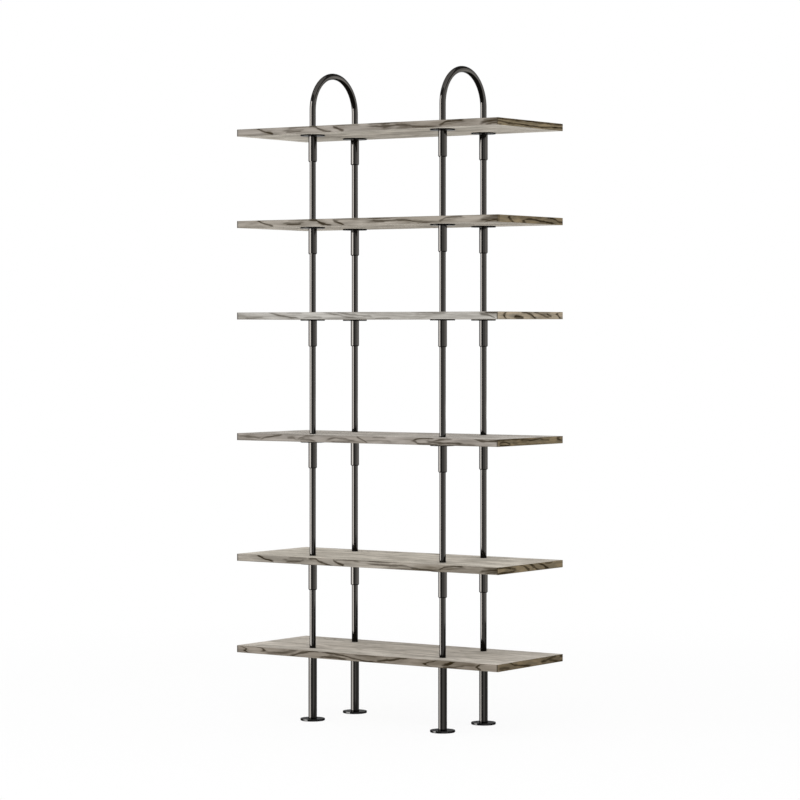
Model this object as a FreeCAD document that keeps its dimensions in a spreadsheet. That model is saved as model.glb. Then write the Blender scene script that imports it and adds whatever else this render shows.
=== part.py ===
"""Free-standing open shelving unit: wooden shelves on four round metal posts.

The origin is on the floor, under the middle of the shelves. X runs along the width, the front
faces -Y and Z is up. Each post is a stack: a levelling foot screwed into a leg, then a tube for
each bay, joined by a flanged coupling under each shelf. A hoop closes each pair of posts on top.
"""
import FreeCAD, Part
import Sketcher
import math
import os

# Driving dimensions in millimetres. The diameters are outside diameters unless a name says bore.
SIZES = {
    # Shelves
    "shelf_width": 1100,
    "shelf_depth": 410,
    "shelf_thickness": 25,
    "shelf_edge_radius": 0.8,
    "shelf_hole_clearance": 0.4,
    # Free heights: under the lowest shelf, and between two shelves
    "lowest_clear_height": 228.5,
    "short_clear_height": 298.5,
    "tall_clear_height": 401.5,
    # Places of the posts, centre to centre
    "post_spacing_width": 550,
    "post_spacing_depth": 253,
    # Post tubes and hoops
    "tube_diameter": 22,
    "tube_wall": 1.5,
    "hoop_straight_rise": 61,
    # Couplings: a flange under the shelf and a sleeve that joins two tubes at a stop ring
    "flange_diameter": 86,
    "flange_thickness": 4.5,
    "flange_edge_chamfer": 0.6,
    "sleeve_diameter": 30,
    "sleeve_length": 95,
    "sleeve_chamfer_height": 3,
    "sleeve_chamfer_depth": 2,
    "sleeve_bore_clearance": 0.08,
    "stop_ring_depth": 45,
    "stop_ring_thickness": 5,
    "stop_ring_bore": 14,
    # Legs
    "leg_wall": 1.5,
    # Levelling feet
    "foot_diameter": 86,
    "foot_thickness": 7.5,
    "foot_lower_radius": 2.5,
    "foot_upper_radius": 0.8,
    "foot_stud_diameter": 12,
    "foot_stud_length": 34,
    "foot_stud_chamfer": 1,
    "foot_stud_clearance": 0.05,
    "leg_insert_length": 25,
    "leg_insert_clearance": 0.05,
    # Countersunk wood screws that hold each flange to its shelf
    "screw_circle_diameter": 64,
    "screw_head_diameter": 8,
    "screw_head_height": 2.4,
    "screw_shank_diameter": 4,
    "screw_length": 20,
    "screw_point_length": 3,
    "screw_hole_clearance": 0.05,
    "screw_slot_width": 1,
    "screw_slot_length": 4.4,
    "screw_slot_depth": 1.4,
    # Socket set screws that lock the tubes in the sleeves, on the side away from the room
    "set_screw_diameter": 5,
    "set_screw_length": 3.7,
    "set_screw_clearance": 0.05,
    "set_screw_inset": 0.1,
    "set_screw_socket": 2.5,
    "set_screw_socket_depth": 2,
    "set_screw_offset": 20,
}

# Free heights above each shelf but the top one, from the lowest shelf up
BAY_HEIGHTS = ["short", "tall", "tall", "short", "short"]
SHELF_COUNT = len(BAY_HEIGHTS) + 1
SCREWS_PER_FLANGE = 3
HEXAGON_SIDES = 6

# The four posts: a name, and on which side of the middle each stands in X and in Y
POSTS = [
    ("front_left", -1, -1),
    ("front_right", 1, -1),
    ("back_left", -1, 1),
    ("back_right", 1, 1),
]


def make_sheet(doc):
    """Keeps the driving dimensions in a spreadsheet, one alias for each."""
    sheet = doc.addObject("Spreadsheet::Sheet", "Sizes")
    for row, (name, value) in enumerate(SIZES.items(), start=1):
        sheet.set(f"A{row}", name)
        sheet.set(f"B{row}", str(value))
        sheet.setAlias(f"B{row}", name)
    doc.recompute()
    return sheet


def bind(obj, **expressions):
    """Binds properties to expressions. A name's double underscore stands for a dot."""
    for name, expression in expressions.items():
        obj.setExpression(name.replace("__", "."), expression)


def place(obj, x="0", y="0", z="0"):
    """Puts an object where the three expressions say."""
    for axis, expression in zip("xyz", (x, y, z)):
        obj.setExpression(f"Placement.Base.{axis}", expression)


def post_x(side):
    return f"{side} * Sizes.post_spacing_width / 2"


def post_y(side):
    return f"{side} * Sizes.post_spacing_depth / 2"


def shelf_underside(level):
    """Height of the underside of a shelf, with level 1 for the lowest."""
    below = BAY_HEIGHTS[:level - 1]
    return (
        f"Sizes.lowest_clear_height + {level - 1} * Sizes.shelf_thickness"
        f" + {below.count('short')} * Sizes.short_clear_height"
        f" + {below.count('tall')} * Sizes.tall_clear_height"
    )


def origin_plane(body, role):
    for feature in body.Origin.OriginFeatures:
        if feature.Role == role:
            return feature


def new_body(doc, name):
    body = doc.addObject("PartDesign::Body", name)
    body.Label = name
    return body


def new_sketch(body, plane, name):
    sketch = body.newObject("Sketcher::SketchObject", name)
    sketch.AttachmentSupport = [(origin_plane(body, plane), "")]
    sketch.MapMode = "FlatFace"
    return sketch


def evaluate(obj, expression):
    value = obj.evalExpression(expression)
    return float(getattr(value, "Value", value))


def fix_point(sketch, geometry, point, x, y):
    """Holds one point of a sketch at two expressions, measured from the sketch's origin."""
    for kind, axis, expression in (("DistanceX", -2, x), ("DistanceY", -1, y)):
        value = evaluate(sketch, expression)
        if abs(value) < Part.Precision.confusion():
            sketch.addConstraint(Sketcher.Constraint("PointOnObject", geometry, point, axis))
            continue
        index = sketch.addConstraint(Sketcher.Constraint(kind, -1, 1, geometry, point, value))
        sketch.setExpression(f"Constraints[{index}]", expression)


def draw_outline(sketch, corners):
    """Draws a closed outline of straight lines through corners given as pairs of expressions."""
    points = [FreeCAD.Vector(evaluate(sketch, x), evaluate(sketch, y), 0) for x, y in corners]
    first = len(sketch.Geometry)
    for i, start in enumerate(points):
        end = points[(i + 1) % len(points)]
        sketch.addGeometry(Part.LineSegment(start, end))
    for i, (x, y) in enumerate(corners):
        before = first + (i - 1) % len(corners)
        sketch.addConstraint(Sketcher.Constraint("Coincident", before, 2, first + i, 1))
        fix_point(sketch, first + i, 1, x, y)


def draw_circle(sketch, x, y, diameter):
    centre = FreeCAD.Vector(evaluate(sketch, x), evaluate(sketch, y), 0)
    radius = evaluate(sketch, diameter) / 2
    circle = sketch.addGeometry(Part.Circle(centre, FreeCAD.Vector(0, 0, 1), radius))
    fix_point(sketch, circle, 3, x, y)
    index = sketch.addConstraint(Sketcher.Constraint("Diameter", circle, 2 * radius))
    sketch.setExpression(f"Constraints[{index}]", diameter)


def revolve(body, name, corners):
    """Turns a closed outline in the XZ plane into a round solid about the Z axis."""
    sketch = new_sketch(body, "XZ_Plane", f"{name}_outline")
    draw_outline(sketch, corners)
    feature = body.newObject("PartDesign::Revolution", name)
    feature.Profile = sketch
    feature.ReferenceAxis = (sketch, ["V_Axis"])
    feature.Angle = 360
    return feature


def circular_edges(shape, radius, height):
    """Names of the round edges of a shape that have this radius and lie at this height."""
    names = []
    for number, edge in enumerate(shape.Edges, start=1):
        curve = edge.Curve
        if not isinstance(curve, Part.Circle):
            continue
        near = abs(curve.Radius - radius) + abs(curve.Center.z - height)
        if near < Part.Precision.confusion():
            names.append(f"Edge{number}")
    return names


def fillet_edges(body, base, name, edges, radius):
    feature = body.newObject("PartDesign::Fillet", name)
    feature.Base = (base, edges)
    bind(feature, Radius=radius)
    return feature


def cut_screw_holes(body, base_name):
    """Cuts a countersunk screw hole on the +Y side of a flange and repeats it round the flange."""
    sketch = new_sketch(body, "YZ_Plane", f"{base_name}_screw_outline")
    axis_y = "Sizes.screw_circle_diameter / 2"
    shank_y = f"{axis_y} + Sizes.screw_shank_diameter / 2 + Sizes.screw_hole_clearance"
    head_y = f"{axis_y} + Sizes.screw_head_diameter / 2 + Sizes.screw_hole_clearance"
    bottom = "-1 * Sizes.flange_thickness"
    below = f"{bottom} - Sizes.flange_thickness"
    draw_outline(sketch, [
        (axis_y, "Sizes.flange_thickness"),
        (shank_y, "Sizes.flange_thickness"),
        (shank_y, f"{bottom} + Sizes.screw_head_height"),
        (head_y, bottom),
        (head_y, below),
        (axis_y, below),
    ])
    axis_start = FreeCAD.Vector(evaluate(sketch, axis_y), evaluate(sketch, below), 0)
    axis_end = FreeCAD.Vector(axis_start.x, 0, 0)
    axis = sketch.addGeometry(Part.LineSegment(axis_start, axis_end), True)
    fix_point(sketch, axis, 1, axis_y, below)
    fix_point(sketch, axis, 2, axis_y, "0")
    hole = body.newObject("PartDesign::Groove", f"{base_name}_screw_hole")
    hole.Profile = sketch
    hole.ReferenceAxis = (sketch, ["Axis0"])
    hole.Angle = 360
    pattern = body.newObject("PartDesign::PolarPattern", f"{base_name}_screw_holes")
    pattern.Originals = [hole]
    pattern.Axis = (origin_plane(body, "Z_Axis"), [""])
    pattern.Angle = 360
    pattern.Occurrences = SCREWS_PER_FLANGE
    body.Tip = pattern


def cut_set_screw_holes(body, base_name, heights):
    """Drills the threaded holes for the set screws through the sleeve's wall on the +Y side."""
    sketch = new_sketch(body, "XZ_Plane", f"{base_name}_set_screw_outline")
    diameter = "Sizes.set_screw_diameter + 2 * Sizes.set_screw_clearance"
    for height in heights:
        draw_circle(sketch, "0", height, diameter)
    pocket = body.newObject("PartDesign::Pocket", f"{base_name}_set_screw_holes")
    pocket.Profile = sketch
    bind(pocket, Length="Sizes.sleeve_diameter")
    body.Tip = pocket


STOP_TOP = "-1 * Sizes.stop_ring_depth"
STOP_BOTTOM = f"{STOP_TOP} - Sizes.stop_ring_thickness"
UPPER_SET_SCREW = f"{STOP_TOP} + Sizes.set_screw_offset"
LOWER_SET_SCREW = f"{STOP_BOTTOM} - Sizes.set_screw_offset"
SLEEVE_BORE_R = "Sizes.tube_diameter / 2 + Sizes.sleeve_bore_clearance"
STOP_BORE_R = "Sizes.stop_ring_bore / 2"
LEG_BORE_R = "Sizes.sleeve_diameter / 2 - Sizes.leg_wall"
LEG_END = "Sizes.foot_thickness - Sizes.lowest_clear_height"


def flange_corners():
    """Corners of a flange from its bore out and back to the sleeve, with its top at height 0."""
    rim = "Sizes.flange_diameter / 2"
    return [
        (SLEEVE_BORE_R, "0"),
        (rim, "0"),
        (rim, "Sizes.flange_edge_chamfer - Sizes.flange_thickness"),
        (f"{rim} - Sizes.flange_edge_chamfer", "-1 * Sizes.flange_thickness"),
        ("Sizes.sleeve_diameter / 2", "-1 * Sizes.flange_thickness"),
    ]


def make_coupling(doc, name):
    """A flange and sleeve in one piece, with a stop ring between the upper and the lower tube."""
    body = new_body(doc, name)
    outside = "Sizes.sleeve_diameter / 2"
    end = "-1 * Sizes.sleeve_length"
    revolve(body, f"{name}_turned", flange_corners() + [
        (outside, f"{end} + Sizes.sleeve_chamfer_height"),
        (f"{outside} - Sizes.sleeve_chamfer_depth", end),
        (SLEEVE_BORE_R, end),
        (SLEEVE_BORE_R, STOP_BOTTOM),
        (STOP_BORE_R, STOP_BOTTOM),
        (STOP_BORE_R, STOP_TOP),
        (SLEEVE_BORE_R, STOP_TOP),
    ])
    cut_screw_holes(body, name)
    cut_set_screw_holes(body, name, [UPPER_SET_SCREW, LOWER_SET_SCREW])
    return body


def make_leg(doc, name):
    """A leg tube with the same flange and upper socket as a coupling."""
    body = new_body(doc, name)
    revolve(body, f"{name}_turned", flange_corners() + [
        ("Sizes.sleeve_diameter / 2", LEG_END),
        (LEG_BORE_R, LEG_END),
        (LEG_BORE_R, STOP_BOTTOM),
        (STOP_BORE_R, STOP_BOTTOM),
        (STOP_BORE_R, STOP_TOP),
        (SLEEVE_BORE_R, STOP_TOP),
    ])
    cut_screw_holes(body, name)
    cut_set_screw_holes(body, name, [UPPER_SET_SCREW])
    return body


def make_foot(doc, name):
    """A round foot plate with the threaded stud that screws into the leg."""
    body = new_body(doc, name)
    rim = "Sizes.foot_diameter / 2"
    stud = "Sizes.foot_stud_diameter / 2"
    top = "Sizes.foot_thickness"
    stud_top = f"{top} + Sizes.foot_stud_length"
    turned = revolve(body, f"{name}_turned", [
        ("0", "0"),
        (rim, "0"),
        (rim, top),
        (stud, top),
        (stud, f"{stud_top} - Sizes.foot_stud_chamfer"),
        (f"{stud} - Sizes.foot_stud_chamfer", stud_top),
        ("0", stud_top),
    ])
    doc.recompute()
    radius = evaluate(turned, rim)
    lower = circular_edges(turned.Shape, radius, 0)
    rounded = fillet_edges(body, turned, f"{name}_lower_edge", lower, "Sizes.foot_lower_radius")
    doc.recompute()
    upper = circular_edges(rounded.Shape, radius, evaluate(turned, top))
    body.Tip = fillet_edges(body, rounded, f"{name}_upper_edge", upper, "Sizes.foot_upper_radius")
    return body


def make_shelf(doc, name):
    """A board with a hole for each post, and blind pilot holes for the flange screws."""
    body = new_body(doc, name)
    half_width = "Sizes.shelf_width / 2"
    half_depth = "Sizes.shelf_depth / 2"
    outline = new_sketch(body, "XY_Plane", f"{name}_outline")
    draw_outline(outline, [
        (f"-1 * {half_width}", f"-1 * {half_depth}"),
        (half_width, f"-1 * {half_depth}"),
        (half_width, half_depth),
        (f"-1 * {half_width}", half_depth),
    ])
    board = body.newObject("PartDesign::Pad", f"{name}_board")
    board.Profile = outline
    bind(board, Length="Sizes.shelf_thickness")
    doc.recompute()
    edges = [f"Edge{number}" for number in range(1, len(board.Shape.Edges) + 1)]
    fillet_edges(body, board, f"{name}_eased_edges", edges, "Sizes.shelf_edge_radius")

    post_holes = new_sketch(body, "XY_Plane", f"{name}_post_outline")
    pilot_holes = new_sketch(body, "XY_Plane", f"{name}_pilot_outline")
    post_hole = "Sizes.tube_diameter + 2 * Sizes.shelf_hole_clearance"
    pilot_hole = "Sizes.screw_shank_diameter + 2 * Sizes.screw_hole_clearance"
    for _, side_x, side_y in POSTS:
        draw_circle(post_holes, post_x(side_x), post_y(side_y), post_hole)
        for number in range(SCREWS_PER_FLANGE):
            x, y = screw_place(side_x, side_y, number)
            draw_circle(pilot_holes, x, y, pilot_hole)
    drill(body, post_holes, f"{name}_post_holes", "Sizes.shelf_thickness")
    drill(body, pilot_holes, f"{name}_pilot_holes", "Sizes.screw_length - Sizes.flange_thickness")
    return body


def drill(body, sketch, name, depth):
    """Cuts a sketch's circles upwards from the underside of a shelf."""
    pocket = body.newObject("PartDesign::Pocket", name)
    pocket.Profile = sketch
    pocket.Reversed = True
    bind(pocket, Length=depth)
    body.Tip = pocket


def screw_place(side_x, side_y, number):
    """Place of one flange screw, counted round the flange from the +Y direction."""
    angle = f"{number} * 360 deg / {SCREWS_PER_FLANGE}"
    radius = "Sizes.screw_circle_diameter / 2"
    return (
        f"{post_x(side_x)} + {radius} * sin({angle})",
        f"{post_y(side_y)} + {radius} * cos({angle})",
    )


def make_tube(doc, name, length):
    """A straight round tube that stands on z = 0 of its own frame."""
    outside = doc.addObject("Part::Cylinder", f"{name}_outside")
    bind(outside, Radius="Sizes.tube_diameter / 2", Height=length)
    inside = doc.addObject("Part::Cylinder", f"{name}_inside")
    bind(inside, Radius="Sizes.tube_diameter / 2 - Sizes.tube_wall", Height=length)
    tube = doc.addObject("Part::Cut", name)
    tube.Base = outside
    tube.Tool = inside
    tube.Label = name
    return tube


def make_hoop(doc, name):
    """A tube bent to a half circle, whose legs reach down into the top couplings."""
    body = new_body(doc, name)
    half = "Sizes.post_spacing_depth / 2"
    foot_height = "0 - Sizes.stop_ring_depth"
    bend_height = "Sizes.shelf_thickness + Sizes.hoop_straight_rise"
    path = new_sketch(body, "YZ_Plane", f"{name}_path")
    y = evaluate(path, half)
    low = evaluate(path, foot_height)
    high = evaluate(path, bend_height)
    front = path.addGeometry(Part.LineSegment(
        FreeCAD.Vector(-y, low, 0), FreeCAD.Vector(-y, high, 0)))
    bend_circle = Part.Circle(FreeCAD.Vector(0, high, 0), FreeCAD.Vector(0, 0, 1), y)
    bend = path.addGeometry(Part.ArcOfCircle(bend_circle, 0, math.pi))
    back = path.addGeometry(Part.LineSegment(
        FreeCAD.Vector(y, high, 0), FreeCAD.Vector(y, low, 0)))
    fix_point(path, front, 1, f"-1 * {half}", foot_height)
    fix_point(path, front, 2, f"-1 * {half}", bend_height)
    fix_point(path, back, 1, half, bend_height)
    fix_point(path, back, 2, half, foot_height)
    path.addConstraint(Sketcher.Constraint("Coincident", bend, 2, front, 2))
    path.addConstraint(Sketcher.Constraint("Coincident", bend, 1, back, 1))
    path.addConstraint(Sketcher.Constraint("Horizontal", bend, 3, back, 1))

    section = new_sketch(body, "XY_Plane", f"{name}_section")
    bind(section, AttachmentOffset__Base__z=foot_height)
    draw_circle(section, "0", f"-1 * {half}", "Sizes.tube_diameter")
    draw_circle(section, "0", f"-1 * {half}", "Sizes.tube_diameter - 2 * Sizes.tube_wall")
    pipe = body.newObject("PartDesign::AdditivePipe", f"{name}_bent_tube")
    pipe.Profile = section
    pipe.Spine = (path, [])
    return body


def make_leg_insert(doc, name):
    """A threaded bush in the lower end of a leg."""
    length = "Sizes.leg_insert_length"
    outside = doc.addObject("Part::Cylinder", f"{name}_outside")
    bind(outside, Radius=f"{LEG_BORE_R} - Sizes.leg_insert_clearance", Height=length)
    thread = doc.addObject("Part::Cylinder", f"{name}_thread")
    bind(thread, Radius="Sizes.foot_stud_diameter / 2 + Sizes.foot_stud_clearance", Height=length)
    insert = doc.addObject("Part::Cut", name)
    insert.Base = outside
    insert.Tool = thread
    return insert


def make_flange_screw(doc, name):
    """A countersunk wood screw that points up, with its head's face at z = 0 of its own frame."""
    body = new_body(doc, name)
    head = "Sizes.screw_head_diameter / 2"
    shank = "Sizes.screw_shank_diameter / 2"
    turned = revolve(body, f"{name}_turned", [
        ("0", "0"),
        (head, "0"),
        (shank, "Sizes.screw_head_height"),
        (shank, "Sizes.screw_length - Sizes.screw_point_length"),
        ("0", "Sizes.screw_length"),
    ])
    half_long = "Sizes.screw_slot_length / 2"
    half_wide = "Sizes.screw_slot_width / 2"
    cross = new_sketch(body, "XY_Plane", f"{name}_cross")
    draw_outline(cross, [
        (half_wide, half_wide), (half_wide, half_long),
        (f"-1 * {half_wide}", half_long), (f"-1 * {half_wide}", half_wide),
        (f"-1 * {half_long}", half_wide), (f"-1 * {half_long}", f"-1 * {half_wide}"),
        (f"-1 * {half_wide}", f"-1 * {half_wide}"), (f"-1 * {half_wide}", f"-1 * {half_long}"),
        (half_wide, f"-1 * {half_long}"), (half_wide, f"-1 * {half_wide}"),
        (half_long, f"-1 * {half_wide}"), (half_long, half_wide),
    ])
    drill(body, cross, f"{name}_recess", "Sizes.screw_slot_depth")
    return body


def make_set_screw(doc, name):
    """A headless screw along +Y, with its cup end at y = 0 and a hexagon socket at the other."""
    body = new_body(doc, name)
    sketch = new_sketch(body, "XZ_Plane", f"{name}_outline")
    draw_circle(sketch, "0", "0", "Sizes.set_screw_diameter")
    rod = body.newObject("PartDesign::Pad", f"{name}_rod")
    rod.Profile = sketch
    rod.Reversed = True
    bind(rod, Length="Sizes.set_screw_length")
    socket = new_sketch(body, "XZ_Plane", f"{name}_socket_outline")
    bind(socket, AttachmentOffset__Base__z="-1 * Sizes.set_screw_length")
    corner_radius = f"Sizes.set_screw_socket / 2 / cos(180 deg / {HEXAGON_SIDES})"
    corners = []
    for number in range(HEXAGON_SIDES):
        angle = f"{number} * 360 deg / {HEXAGON_SIDES}"
        corners.append((f"{corner_radius} * cos({angle})", f"{corner_radius} * sin({angle})"))
    draw_outline(socket, corners)
    pocket = body.newObject("PartDesign::Pocket", f"{name}_socket")
    pocket.Profile = socket
    pocket.Reversed = True
    bind(pocket, Length="Sizes.set_screw_socket_depth")
    body.Tip = pocket
    return body


def make_group(doc, name, pattern, places):
    """One sub-part of many identical pieces: links to a pattern piece, each at its own place."""
    links = []
    for number, (x, y, z) in enumerate(places, start=1):
        link = doc.addObject("App::Link", f"{name}_{number}")
        link.setLink(pattern)
        place(link, x, y, z)
        links.append(link)
    group = doc.addObject("Part::Compound", name)
    group.Links = links
    group.Label = name
    return group


def build(doc):
    """Builds every sub-part and returns them in the order of assembly, from the floor up."""
    nodes = []
    screws = []
    set_screws = []
    inserts = []
    for post, side_x, side_y in POSTS:
        x = post_x(side_x)
        y = post_y(side_y)
        foot = make_foot(doc, f"foot_{post}")
        place(foot, x, y)
        leg = make_leg(doc, f"leg_{post}")
        place(leg, x, y, shelf_underside(1))
        nodes += [foot, leg]
        inserts.append((x, y, "Sizes.foot_thickness"))
        for bay, height in enumerate(BAY_HEIGHTS, start=1):
            pitch = f"Sizes.{height}_clear_height + Sizes.shelf_thickness"
            tube = make_tube(doc, f"tube_bay_{bay}_{post}", f"{pitch} - Sizes.stop_ring_thickness")
            place(tube, x, y, f"{shelf_underside(bay)} - Sizes.stop_ring_depth")
            nodes.append(tube)
        for level in range(2, SHELF_COUNT + 1):
            coupling = make_coupling(doc, f"coupling_level_{level}_{post}")
            place(coupling, x, y, shelf_underside(level))
            nodes.append(coupling)
        for level in range(1, SHELF_COUNT + 1):
            underside = shelf_underside(level)
            for number in range(SCREWS_PER_FLANGE):
                screw_x, screw_y = screw_place(side_x, side_y, number)
                screws.append((screw_x, screw_y, f"{underside} - Sizes.flange_thickness"))
            cup_y = f"{y} + Sizes.tube_diameter / 2 + Sizes.set_screw_inset"
            set_screws.append((x, cup_y, f"{underside} + {UPPER_SET_SCREW}"))
            if level > 1:
                set_screws.append((x, cup_y, f"{underside} + {LOWER_SET_SCREW}"))
    for level in range(1, SHELF_COUNT + 1):
        shelf = make_shelf(doc, f"shelf_level_{level}")
        place(shelf, z=shelf_underside(level))
        nodes.append(shelf)
    for side_name, side_x in (("left", -1), ("right", 1)):
        hoop = make_hoop(doc, f"hoop_{side_name}")
        place(hoop, post_x(side_x), "0", shelf_underside(SHELF_COUNT))
        nodes.append(hoop)
    flange_screw = make_flange_screw(doc, "flange_screw_pattern")
    set_screw = make_set_screw(doc, "set_screw_pattern")
    leg_insert = make_leg_insert(doc, "leg_insert_pattern")
    nodes.append(make_group(doc, "leg_inserts", leg_insert, inserts))
    nodes.append(make_group(doc, "flange_screws", flange_screw, screws))
    nodes.append(make_group(doc, "set_screws", set_screw, set_screws))
    return nodes


def check(doc, nodes):
    """Stops if any object failed, or if a sub-part's shape is missing or broken."""
    for obj in doc.Objects:
        if {"Invalid", "Error"} & set(obj.State):
            raise RuntimeError(f"{obj.Name}: {obj.State}")
    for node in nodes:
        if node.Shape.isNull() or not node.Shape.isValid() or not node.Shape.Solids:
            raise RuntimeError(f"{node.Label}: its shape is not a valid solid")


def main():
    doc = FreeCAD.newDocument("shelving_unit")
    make_sheet(doc)
    nodes = build(doc)
    doc.recompute()
    check(doc, nodes)
    os.makedirs("parts", exist_ok=True)
    for node in nodes:
        node.Shape.exportStep(os.path.join("parts", f"{node.Label}.step"))
    print(f"{len(nodes)} sub-parts, {sum(len(node.Shape.Solids) for node in nodes)} solids")


main()
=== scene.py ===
"""Looks of the free-standing shelving unit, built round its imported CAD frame.

The CAD nodes keep their shapes. This script gives them procedural materials, and adds a plain
studio and the camera. Lengths are in metres, in the frame's own axes: X along the width, -Y
towards the front and Z up.
"""

import math

import bpy
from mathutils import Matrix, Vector


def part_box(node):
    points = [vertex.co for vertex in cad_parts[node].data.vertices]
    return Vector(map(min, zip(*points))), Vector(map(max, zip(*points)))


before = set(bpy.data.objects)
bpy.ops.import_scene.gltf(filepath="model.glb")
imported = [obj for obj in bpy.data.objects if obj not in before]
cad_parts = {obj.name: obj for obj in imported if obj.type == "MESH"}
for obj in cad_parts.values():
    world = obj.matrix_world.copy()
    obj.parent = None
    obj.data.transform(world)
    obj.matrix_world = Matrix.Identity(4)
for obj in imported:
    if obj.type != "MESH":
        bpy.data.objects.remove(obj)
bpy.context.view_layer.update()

# The camera stands to the right of the front, level, and its lens is shifted down
CAMERA_PLACE = Vector((6.0535, -8.6624, 1.3694))
CAMERA_TURN = math.radians(34.91)
SENSOR_WIDTH = 36.0
FOCAL_LENGTH = 136.33
IMAGE_SIZE = 800
HORIZON_PIXEL = 329.61
MIDDLE_PIXEL = 399.6

# Sizes that the materials follow, read from the frame
SHELF_COUNT = 6
SHELF_LOW, SHELF_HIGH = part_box("shelf_level_1")
SHELF_WIDTH = SHELF_HIGH.x - SHELF_LOW.x
SHELF_DEPTH = SHELF_HIGH.y - SHELF_LOW.y
SHELF_THICKNESS = SHELF_HIGH.z - SHELF_LOW.z
TOP_LOW, TOP_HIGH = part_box(f"shelf_level_{SHELF_COUNT}")
TUBE_LOW, TUBE_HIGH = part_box("tube_bay_1_back_right")
POST_AXIS = ((TUBE_LOW.x + TUBE_HIGH.x) / 2, (TUBE_LOW.y + TUBE_HIGH.y) / 2, 0.0)
FASTENERS = "flange_screws", "set_screws", "leg_inserts"
MILLIMETRES_PER_METRE = 1000

# Colours, as linear light
VENEER_LIGHT = (0.575, 0.524, 0.450)
VENEER_GREY = (0.345, 0.312, 0.264)
END_TAN = (0.400, 0.320, 0.212)
END_GREY = (0.245, 0.208, 0.150)
VENEER_SMOKE = (0.120, 0.096, 0.064)
VENEER_VEIN = (0.026, 0.018, 0.008)
OXIDE_BLACK = (0.030, 0.029, 0.028)
FLOOR_WHITE = (0.88, 0.88, 0.88)
PURE_WHITE = (1.0, 1.0, 1.0)

# The black metals: colour of their gloss, what it is multiplied by at a grazing angle, roughness
# and how metallic they are
POST_METAL = (0.0133, 0.0125, 0.0115), 0.5, 0.06, 1.0
FOOT_METAL = (0.0120, 0.0118, 0.0115), 0.0, 0.10, 0.93
METAL_IOR = 1.2

# Where the flanges start, in metres from a post's axis, the height that they stay under, and the
# share of the gloss colour that they keep, which paints shade on them
FLANGE_START = 0.0165, 0.0175
FLANGE_LIMIT = (TOP_LOW.z + TOP_HIGH.z) / 2
FLANGE_SHADE_SHARE = 0.15

# The posts' metal turns satin where the height of its normal passes from the first of these to the
# second, so under the flanges
FLAT_RANGE = 0.90, 0.98
SATIN_ROUGHNESSES = 0.31, 0.35

# Noises of the metals, as blobs a metre and detail, and how far they change colour and roughness
METAL_CLOUD = 35.0, 3.0
METAL_CLOUD_RANGE = 0.3, 0.7
METAL_DARK_SHARE = 0.9
METAL_ROUGHNESS_SHARES = 0.85, 1.15
PEEL = 500.0, 1.0
WEAR = 400.0, 3.0
WORN_SHARE = 1.8
OXIDE_ROUGHNESS_RANGE = 0.3, 0.7, 0.38, 0.52

# Reliefs: strength, and depth in metres
PEEL_RELIEF = 0.05, 0.00002
VENEER_RELIEF = 0.25, 0.0002

# Tints of the veneers on each board, by level from the lowest: tops, undersides, long edges and
# ends. Besides each board's own tone they hold painted light and shade: the tops and undersides
# are lightened, the lower tops and the upper undersides most, and the long edges and most ends
# are darkened
TOP_TONE_AND_LIGHT = {1: (1.22, 1.25, 1.31), 2: (1.23, 1.26, 1.30), 3: (1.09, 1.13, 1.22),
             4: (1.12, 1.15, 1.21), 5: (1.12, 1.15, 1.20), 6: (1.10, 1.13, 1.18)}
UNDER_TONE_AND_LIGHT = {1: (1.20, 1.23, 1.29), 2: (1.20, 1.23, 1.29), 3: (1.18, 1.22, 1.28),
               4: (1.18, 1.22, 1.28), 5: (1.32, 1.36, 1.42), 6: (1.42, 1.47, 1.54)}
EDGE_TONE_AND_SHADE = {1: (0.55, 0.53, 0.52), 2: (0.70, 0.70, 0.71), 3: (0.63, 0.63, 0.66),
              4: (0.84, 0.89, 0.96), 5: (0.70, 0.70, 0.71), 6: (0.60, 0.60, 0.62)}
END_TONE_AND_SHADE = {1: (0.56, 0.54, 0.50), 2: (0.68, 0.66, 0.61), 3: (0.64, 0.62, 0.57),
             4: (1.06, 1.10, 1.20), 5: (0.72, 0.70, 0.64), 6: (0.78, 0.77, 0.72)}

# Grain of the veneers: blobs a metre along X, Y and Z, on the long veneers and on the ends, then
# detail and distortion
FIBRE = ((7.0, 420.0, 420.0), (420.0, 12.0, 300.0)), 3.0, 0.0
STREAK = ((4.5, 75.0, 130.0), (75.0, 9.0, 130.0)), 4.0, 0.3
CLOUD = ((5.5, 16.0, 34.0), (24.0, 14.0, 60.0)), 5.0, 0.9
PORE = ((30.0, 900.0, 900.0), (900.0, 60.0, 900.0)), 1.0, 0.0
GRAIN_ROUGHNESS = 0.55

# Noises that bend the veins up and along, so that they don't look drawn, and that widen them in
# places: blobs a metre along X, Y and Z, detail and distortion
DRIFT_UP = (30.0, 30.0, 90.0), 2.0, 0.0
DRIFT_ALONG = (55.0, 55.0, 160.0), 2.0, 0.0
SWELL = (26.0, 26.0, 60.0), 3.0, 0.0

# Noises of the wisps and rings on the flat faces, in the same way. WISP_WAVES is the number of half
# waves of wisps in a metre of depth, WISP_BEND how many of them the bend moves them by, and
# RING_COUNT the number of contour lines from the foot of a hill to its top
BEND = (2.6, 7.0, 7.0), 3.0, 0.4
WISP_PATCH = (5.0, 16.0, 16.0), 3.0, 0.0
WISP_WAVES = 26.0
WISP_BEND = 16.0
HILLS = (1.2, 16.0, 16.0), 4.0, 0.0
CLUSTER = (6.0, 24.0, 24.0), 2.0, 0.0
RING_COUNT = 14.0

# How far the noises move from one board to the next, in metres
SEED_STEP = (3.7, 1.9, 0.37)

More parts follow.
